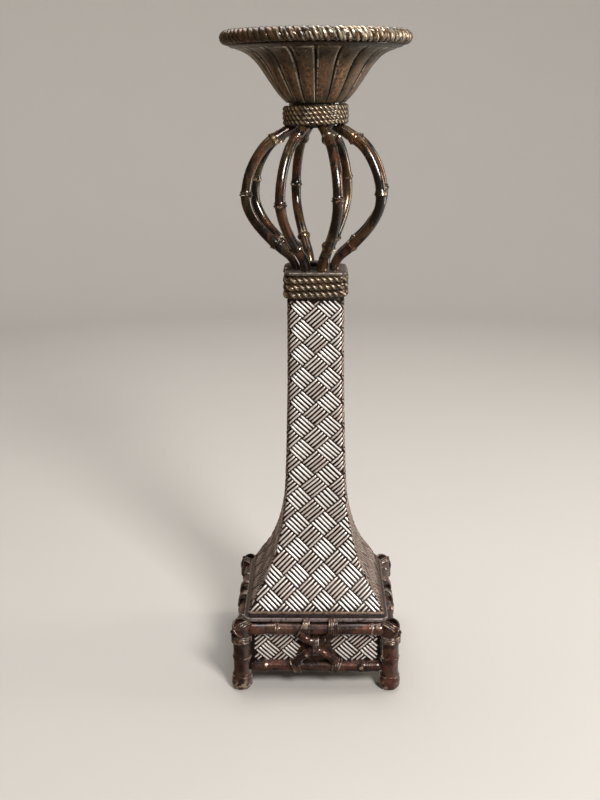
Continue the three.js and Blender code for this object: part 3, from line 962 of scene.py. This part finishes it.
def make_lashings(side, turn):
    """Lashings where the arcs meet the rails. On the top rail they climb over the deck's edge."""
    build = Build()
    rng = random.Random(80 + SIDES.index(side))
    deck_top = node_box("deck_board")[1].z
    for kind, at, leans in LASHINGS:
        low, high = node_box(f"{kind}_front")
        middle = (low + high) / 2
        radius = (high.z - low.z) / 2 + 0.45
        climb = deck_top - middle.z - radius if kind == "top_rail" else 0.0
        for i, lean in enumerate(leans):
            place = at + (i - (len(leans) - 1) / 2) * LASHING_PITCH
            centre = Vector((place, middle.y, middle.z + climb / 2))
            cord_loop(build, centre, RIGHT, UP, (radius, radius + climb / 2), lean, LASHING_CORD, rng)
    build.piece(f"rail_lashings_{side}", CORD, "rope", turn=turn)


THIN_CORD = 1.1
CORNER_PITCH = 1.9
POST_LOOP = (9.0, 9.0)
CROSSING_LOOP = (9.5, 9.2)
CROSSING_Z = 63.4


def make_corner_lashing(index):
    """Four loops round a post, and two groups of three that cross over its top."""
    name = f"corner_lashing_{index + 1}"
    low, high = node_box(name)
    middle = (low + high) / 2
    rng = random.Random(90 + index)
    build = Build()
    for i in range(4):
        centre = Vector((middle.x, middle.y, low.z + 0.6 + i * CORNER_PITCH))
        cord_loop(build, centre, UP, RIGHT, POST_LOOP, rng.uniform(-0.5, 0.5), LASHING_CORD, rng)
    diagonal = Vector((middle.x, middle.y, 0)).normalized()
    for lean in (-1, 1):
        axis = (Vector((diagonal.y, -diagonal.x, 0)) * lean * 0.75 + UP * 0.66).normalized()
        for i in (-1, 0, 1):
            centre = Vector((middle.x, middle.y, CROSSING_Z)) + diagonal * i * 1.2 + axis * i * CORNER_PITCH
            cord_loop(build, centre, axis, diagonal, CROSSING_LOOP, 0.0, THIN_CORD, rng)
    build.piece(f"{name}_cord", CORD, "rope", name)


ARC_OUT = 75.0
ARC_RADIUS = 3.9
ARC_KNUCKLE = 0.7
ARC_KNUCKLE_PLACE = 9.5
MIDDLE_Z = 45.8
# (share of the reach, share of the way from the middle's height to the ends') along an arc
ARC_LINE = ((-1, 1), (-0.6, 0.42), (0, 0), (0.6, 0.42), (1, 1))
# (name, reach to each side, height in the middle, height at the ends)
ARCS = (("hanging_arc", 15.5, 49.9, 59.3), ("rising_arc", 19.5, 41.7, 28.5))


def make_arcs(side, turn):
    """The hanging arc under the top rail and the rising arc on the low rail."""
    for name, reach, near, end in ARCS:
        rng = random.Random(100 + 3 * SIDES.index(side) + len(name))
        line = [Vector((x * reach, -ARC_OUT, mix(near, end, share))) for x, share in ARC_LINE]
        path = Path(spline(line, 24))
        knuckles = [(path.length * 0.5 - ARC_KNUCKLE_PLACE, -1), (path.length * 0.5 + ARC_KNUCKLE_PLACE, 1)]

        def swell(distance):
            return 0.5 * math.cos(TAU * distance / path.length * 2) + 0.1

        build = Build()
        bamboo(build, path, ARC_RADIUS, knuckles, ARC_KNUCKLE, rng, Vector((0, 1, 0)), flare=swell)
        build.piece(f"{name}_{side}_bamboo", PLINTH, "bronze", f"{name}_{side}", turn=turn)


def make_tie(side, turn):
    low, high = node_box("arc_tie_front")
    middle = (low + high) / 2
    radii = ((high.y - low.y) / 2 - 0.9, (high.z - low.z) / 2 - 1.0)
    rng = random.Random(120 + SIDES.index(side))
    build = Build()
    for i in (-1, 0, 1):
        centre = Vector((middle.x + i * 2.1, middle.y, middle.z))
        cord_loop(build, centre, RIGHT, UP, radii, 0.0, THIN_CORD, rng)
    build.piece(f"arc_tie_{side}_cord", CORD, "rope", f"arc_tie_{side}", turn=turn)


APRON_BLOCK = 25.4
APRON_ROW = 24.0
APRON_SHIFT = -8.4
APRON_ROW_Z = 50.0
APRON_TUCK = 2.0
APRON_DEPTH = 2.6


def make_apron(side, turn):
    """Two woven windows with a smooth copper panel behind the arcs between them."""
    low, high = node_box("apron_front")
    face = low.y + 0.6
    bottom, top = low.z - APRON_TUCK, high.z + APRON_TUCK
    rng = random.Random(140 + SIDES.index(side))
    build = Build()

    def spread(spot):
        return spot.x * APRON_BLOCK + APRON_SHIFT, spot.y * APRON_ROW + APRON_ROW_Z

    def place(spot, lift):
        x, z = spread(spot)
        return Vector((clamp(x, low.x, high.x), face - lift, clamp(z, bottom, top)))

    def inside(spot):
        x, z = spread(spot)
        waist = 13.5 + 5.5 * abs(z - MIDDLE_Z) / 12
        return waist < abs(x) < high.x - 2.5 and bottom < z < top

    weave(build, place, inside, range(-3, 5), range(-2, 3), rng, lambda point: 0.95)
    corners = ((low.x, bottom), (high.x, bottom), (high.x, top), (low.x, top))
    build.skin([[(Vector((x, face + depth, z)), 0.05) for x, z in corners] for depth in (0.0, APRON_DEPTH)])
    build.piece(f"apron_{side}_weave", WEAVE, "weave", f"apron_{side}", turn=turn)

    infill = Build()
    rings = []
    for i in range(13):
        z = mix(bottom, top, i / 12)
        waist = 13.0 + 6.5 * abs(z - MIDDLE_Z) / 12
        ring = []
        for j in range(15):
            across = j / 7 - 1
            crown = 1 - across ** 2
            point = Vector((across * waist, face - 0.25 - 1.7 * crown ** 0.5, z))
            ring.append((point, 0.3 + 0.5 * crown * rng.random()))
        ring += [(Vector((waist, face + 1.0, z)), 0.1), (Vector((-waist, face + 1.0, z)), 0.1)]
        rings.append(ring)
    infill.skin(rings)
    infill.piece(f"apron_{side}_infill", INFILL, "bronze", turn=turn)


# -------- bowl

LOBES = 18
# (radius, height) up the outside, over the lip under the rim rope, and down inside
OUTER = ((26.4, 551.0), (30.6, 555.0), (35.2, 560.2), (42.3, 570.2), (47.4, 577.7), (51.9, 583.9),
         (58.6, 590.6), (64.5, 594.2), (70.5, 596.4))
LIP = ((71.6, 597.3), (75.0, 597.8), (77.2, 598.8), (77.8, 599.8), (76.0, 601.5), (72.6, 604.5),
       (72.4, 608.6), (71.6, 610.0), (70.2, 610.2), (69.0, 608.8))
DISH = ((67.8, 604.4), (66.0, 601.8), (56.0, 596.3), (46.8, 589.2), (42.4, 584.6), (40.6, 581.8),
        (39.6, 580.0))
SCREW_HOLE = 3.6
# (radius, depth below the seat, wear, whose 0 in the screw's recess paints it dark as shade) across the
# seat and down that recess
SEAT = ((38.6, 0.05, 0.3), (11.6, 0.0, 0.3), (11.0, 0.6, 0.6), (11.0, 7.0, 0.0), (SCREW_HOLE, 7.0, 0.0))


def lobe_depth(angle):
    """0 on a lobe's crest and 1 in the groove between two lobes."""
    across = abs((angle / TAU * LOBES) % 1.0 - 0.5) * 2
    return 1 - math.sqrt(max(1 - across ** 2.4, 0.0))


def lobe_angles():
    """Angles round the bowl, closest together beside the grooves."""
    halves = [0.0, 0.3, 0.55, 0.7, 0.78, 0.84, 0.88, 0.92, 0.96]
    across = [-share for share in reversed(halves[1:])] + halves + [1.0]
    return [TAU * (lobe + 0.5 + 0.5 * share) / LOBES for lobe in range(LOBES) for share in across]


def lobed(row, share, angle, out):
    """Radius, wear and copper of the lobed outside, at a share of the way up it. A low wear in the
    grooves paints shade there, and a thin line of high wear beside each groove paints a highlight
    along the lobes' edges.
    """
    depth = lobe_depth(angle)
    size = mix(0.055, 0.085, smooth_step(share, 0.1, 0.85))
    ripple = noise.noise(Vector((out.x * 5, out.y * 5, row.z * 0.06)))
    glow = smooth_step(share, 0.02, 0.22) * (1 - smooth_step(share, 0.45, 0.86))
    # Painted highlight: a thin bright line of brushing along each lobe's edge beside the groove.
    edge = math.exp(-((depth - 0.36) / 0.12) ** 2)
    wear_and_painted_light = mix(0.44, 0.0, depth) + 0.66 * edge * (0.8 + 0.9 * ripple)
    wear_and_painted_light += 0.3 * smooth_step(share, 0.9, 0.97) * (0.7 + ripple)
    return row.x * (1 - size * depth), wear_and_painted_light, glow * (1 - depth) * (0.8 + 0.8 * ripple)


def make_bowl():
    """The bowl's tint says where copper is stippled on."""
    build = Build()
    angles = lobe_angles()
    outer, lip, dish = (spline([Vector((radius, 0, height)) for radius, height in rows], samples)
                        for rows, samples in ((OUTER, 7), (LIP, 3), (DISH, 6)))
    rings = []
    for kind, rows in (("outer", outer), ("lip", lip), ("dish", dish)):
        for index, row in enumerate(rows):
            share = index / (len(rows) - 1)
            ring = []
            for angle in angles:
                out = outward(angle + FRONT)
                radius, wear_and_painted_light, copper = row.x, 0.4, 0.0
                if kind == "outer":
                    radius, wear_and_painted_light, copper = lobed(row, share, angle, out)
                elif kind == "lip":
                    wear_and_painted_light = 0.2 + 0.5 * smooth_step(share, 0.6, 0.9)
                ring.append((out * radius + UP * row.z, clamp(wear_and_painted_light), copper))
            rings.append(ring)
    rows = [(radius, dish[-1].z - depth, wear_and_painted_light) for radius, depth, wear_and_painted_light in SEAT]
    for radius, height, wear_and_painted_light in [*rows, (SCREW_HOLE, OUTER[0][1], 0.0)]:
        ring = []
        for angle in angles:
            x = radius * math.cos(angle + FRONT)
            y = radius * math.sin(angle + FRONT)
            ring.append((Vector((x, y, height)), wear_and_painted_light, 0.0))
        rings.append(ring)
    build.skin(rings, path_closed=True)
    build.piece("bowl_casting", BOWL, "bowl_bronze", "bowl", smooth_angle=60)


# -------- what is left of the CAD

KEPT_NODES = (
    (FILLING, ("column_core", "base_core")),
    (STEEL, ("tie_rod", "base_nut", "base_washer", "cap_washer", "bowl_screw", "bowl_washer")),
    (BRONZE, ("cap_nut", "neck_hub")))


def finish_cad_nodes():
    for material, nodes in KEPT_NODES:
        for node in nodes:
            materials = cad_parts[node].data.materials
            materials.clear()
            materials.append(material)


# -------- stage, light, camera

# Lengths in metres from here on.
FLOOR_COLOUR = (0.45, 0.435, 0.415)


def floor_material():
    material, tree, shader = graph("pale_floor")
    darker = tuple(channel * 0.97 for channel in FLOOR_COLOUR)
    mottled = blend_colour(tree, noise_node(tree, 6), FLOOR_COLOUR, darker)
    tree.links.new(mottled, shader.inputs["Base Color"])
    shader.inputs["Roughness"].default_value = 0.7
    return material


def make_stage():
    """A pale round floor that curves up into a backdrop on every side."""
    inner, bend, reach, height = 0.4, 0.9, 2.6, 2.1
    around, bend_steps = 96, 24
    profile = [(inner, 0.0), (reach - bend, 0.0)]
    for i in range(1, bend_steps + 1):
        angle = math.pi / 2 * i / bend_steps
        profile.append((reach - bend + bend * math.sin(angle), bend - bend * math.cos(angle)))
    profile.append((reach, height))
    points = [(radius * math.cos(TAU * i / around), radius * math.sin(TAU * i / around), z)
              for radius, z in profile for i in range(around)]
    faces = [tuple(range(around))]
    for row in range(len(profile) - 1):
        for i in range(around):
            near, far = row * around, (row + 1) * around
            faces.append((near + i, far + i, far + (i + 1) % around, near + (i + 1) % around))
    mesh = bpy.data.meshes.new("floor")
    mesh.from_pydata(points, [], faces)
    mesh.shade_smooth()
    mesh.materials.append(floor_material())
    floor = add_object("floor", mesh)
    floor.visible_glossy = False


# (name, place, target, size, power, colour)
LIGHTS = (
    ("key", (0.70, -1.3, 1.35), (0, 0, 0.3), (0.4, 0.6), 45, (1.0, 0.97, 0.93)),
    ("edge", (1.35, 0.15, 0.50), (0, 0, 0.4), (0.3, 0.9), 9, (1.0, 0.92, 0.78)),
    ("top", (0.0, 0.5, 1.8), (0, 0.5, 0), (1.6, 1.6), 24, (1.0, 0.97, 0.95)),
    ("wash", (0.0, 0.6, 2.6), (0, 1.6, 0.2), (2.5, 1.2), 20, (1.0, 0.97, 0.92)))


def area_light(name, place, target, size, power, colour):
    data = bpy.data.lights.new(name, "AREA")
    data.shape = "RECTANGLE"
    data.size, data.size_y = size
    data.energy = power
    data.color = colour
    light = add_object(name, data)
    light.visible_camera = False
    light.location = place
    light.rotation_euler = (Vector(target) - Vector(place)).to_track_quat("-Z", "Y").to_euler()


BROWN_LIGHT = (0.74, 0.50, 0.30)
PALE_LIGHT = (0.86, 0.82, 0.75)
AMBIENT = 0.11
BEHIND = 0.32
BELOW = 0.6


def make_world():
    """Soft light from all round, browner on the left, with one pale reflector low behind the stand
    and another below on its right. The floor hides both from all but glossy surfaces."""
    world = bpy.data.worlds.new("studio")
    world.use_nodes = True
    tree = world.node_tree
    background = tree.nodes["Background"]
    direction = tree.nodes.new("ShaderNodeSeparateXYZ")
    tree.links.new(tree.nodes.new("ShaderNodeTexCoord").outputs["Generated"], direction.inputs[0])
    rightwards = span(tree, direction.outputs["X"], -0.7, 0.3)
    tint = blend_colour(tree, rightwards, BROWN_LIGHT, PALE_LIGHT)
    tree.links.new(tint, background.inputs["Color"])
    behind = span(tree, direction.outputs["Y"], 0.3, 0.8)
    low = span(tree, direction.outputs["Z"], 0.65, 0.35)
    reflector = math_node(tree, "MULTIPLY", behind, low)
    down = span(tree, direction.outputs["Z"], -0.05, -0.3)
    below = math_node(tree, "MULTIPLY", down, span(tree, direction.outputs["X"], 0.35, 0.8))
    ambient = span(tree, reflector, 0, 1, AMBIENT, BEHIND)
    strength = math_node(tree, "ADD", ambient, span(tree, below, 0, 1, 0.0, BELOW))
    tree.links.new(strength, background.inputs["Strength"])
    bpy.context.scene.world = world


SENSOR = 36
FOCAL_IN_IMAGE_HEIGHTS = 1.2975
CAMERA_PLACE = (0, -0.9708, 0.5598)
CAMERA_DIP = 16.5
CAMERA_SWING = 0.91
CAMERA_ROLL = -0.27


def make_camera():
    """The photo's camera, for an upright image: the sensor's width is the image's height."""
    data = bpy.data.cameras.new("camera")
    data.sensor_width = SENSOR
    data.lens = FOCAL_IN_IMAGE_HEIGHTS * SENSOR
    data.clip_start = 0.05
    camera = add_object("camera", data)
    camera.location = CAMERA_PLACE
    swing = Matrix.Rotation(math.radians(CAMERA_SWING), 3, "Z")
    dip = Matrix.Rotation(math.radians(90 - CAMERA_DIP), 3, "X")
    roll = Matrix.Rotation(math.radians(CAMERA_ROLL), 3, "Z")
    camera.rotation_euler = (swing @ dip @ roll).to_euler()
    bpy.context.scene.camera = camera


bpy.context.scene.view_settings.view_transform = "Standard"
make_camera()
make_stage()
for light_facts in LIGHTS:
    area_light(*light_facts)
make_world()
make_bowl()
make_rim_rope()
make_neck_rope()
make_canes()
make_boards()
make_foot_binding()
make_collar_rope()
make_sleeve()
make_posts()
for number, side_name in enumerate(SIDES):
    quarter = number * math.pi / 2
    make_rails(side_name, quarter)
    make_apron(side_name, quarter)
    make_arcs(side_name, quarter)
    make_tie(side_name, quarter)
    make_lashings(side_name, quarter)
    make_corner_lashing(number)
finish_cad_nodes()
